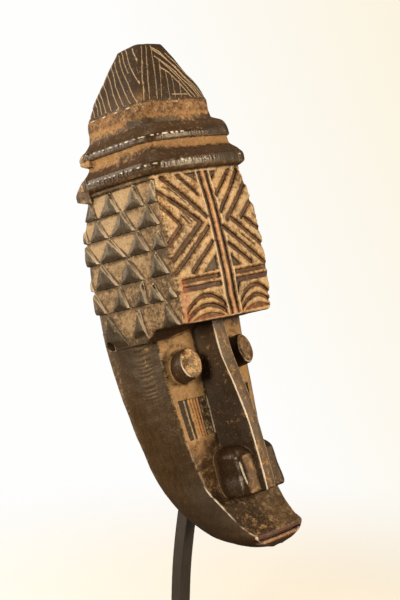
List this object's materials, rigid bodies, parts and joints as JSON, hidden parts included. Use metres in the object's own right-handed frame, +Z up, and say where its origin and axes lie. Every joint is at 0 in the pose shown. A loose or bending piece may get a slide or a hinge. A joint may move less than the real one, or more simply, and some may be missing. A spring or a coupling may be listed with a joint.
{
  "type": "ijo mask on a display rod",
  "caption": "Carved hollow wooden face mask with a patterned forehead block, stepped rings and a pointed cap, leaning back on a bent square steel rod with a base plate.",
  "frame": {"origin": "centre of the base plate's underside", "axes": "+Z up, the face looks towards -Y, X across the face"},
  "size_m": [0.17, 0.2067, 0.6291],
  "materials": {
    "carved_wood": "dark oiled and handled wood with tan encrustation in the recesses",
    "black_steel": "satin black"
  },
  "bodies": {
    "root": {"mask": "carved_wood", "stand_rod": "black_steel", "stand_base": "black_steel"}
  },
  "joints": []
}
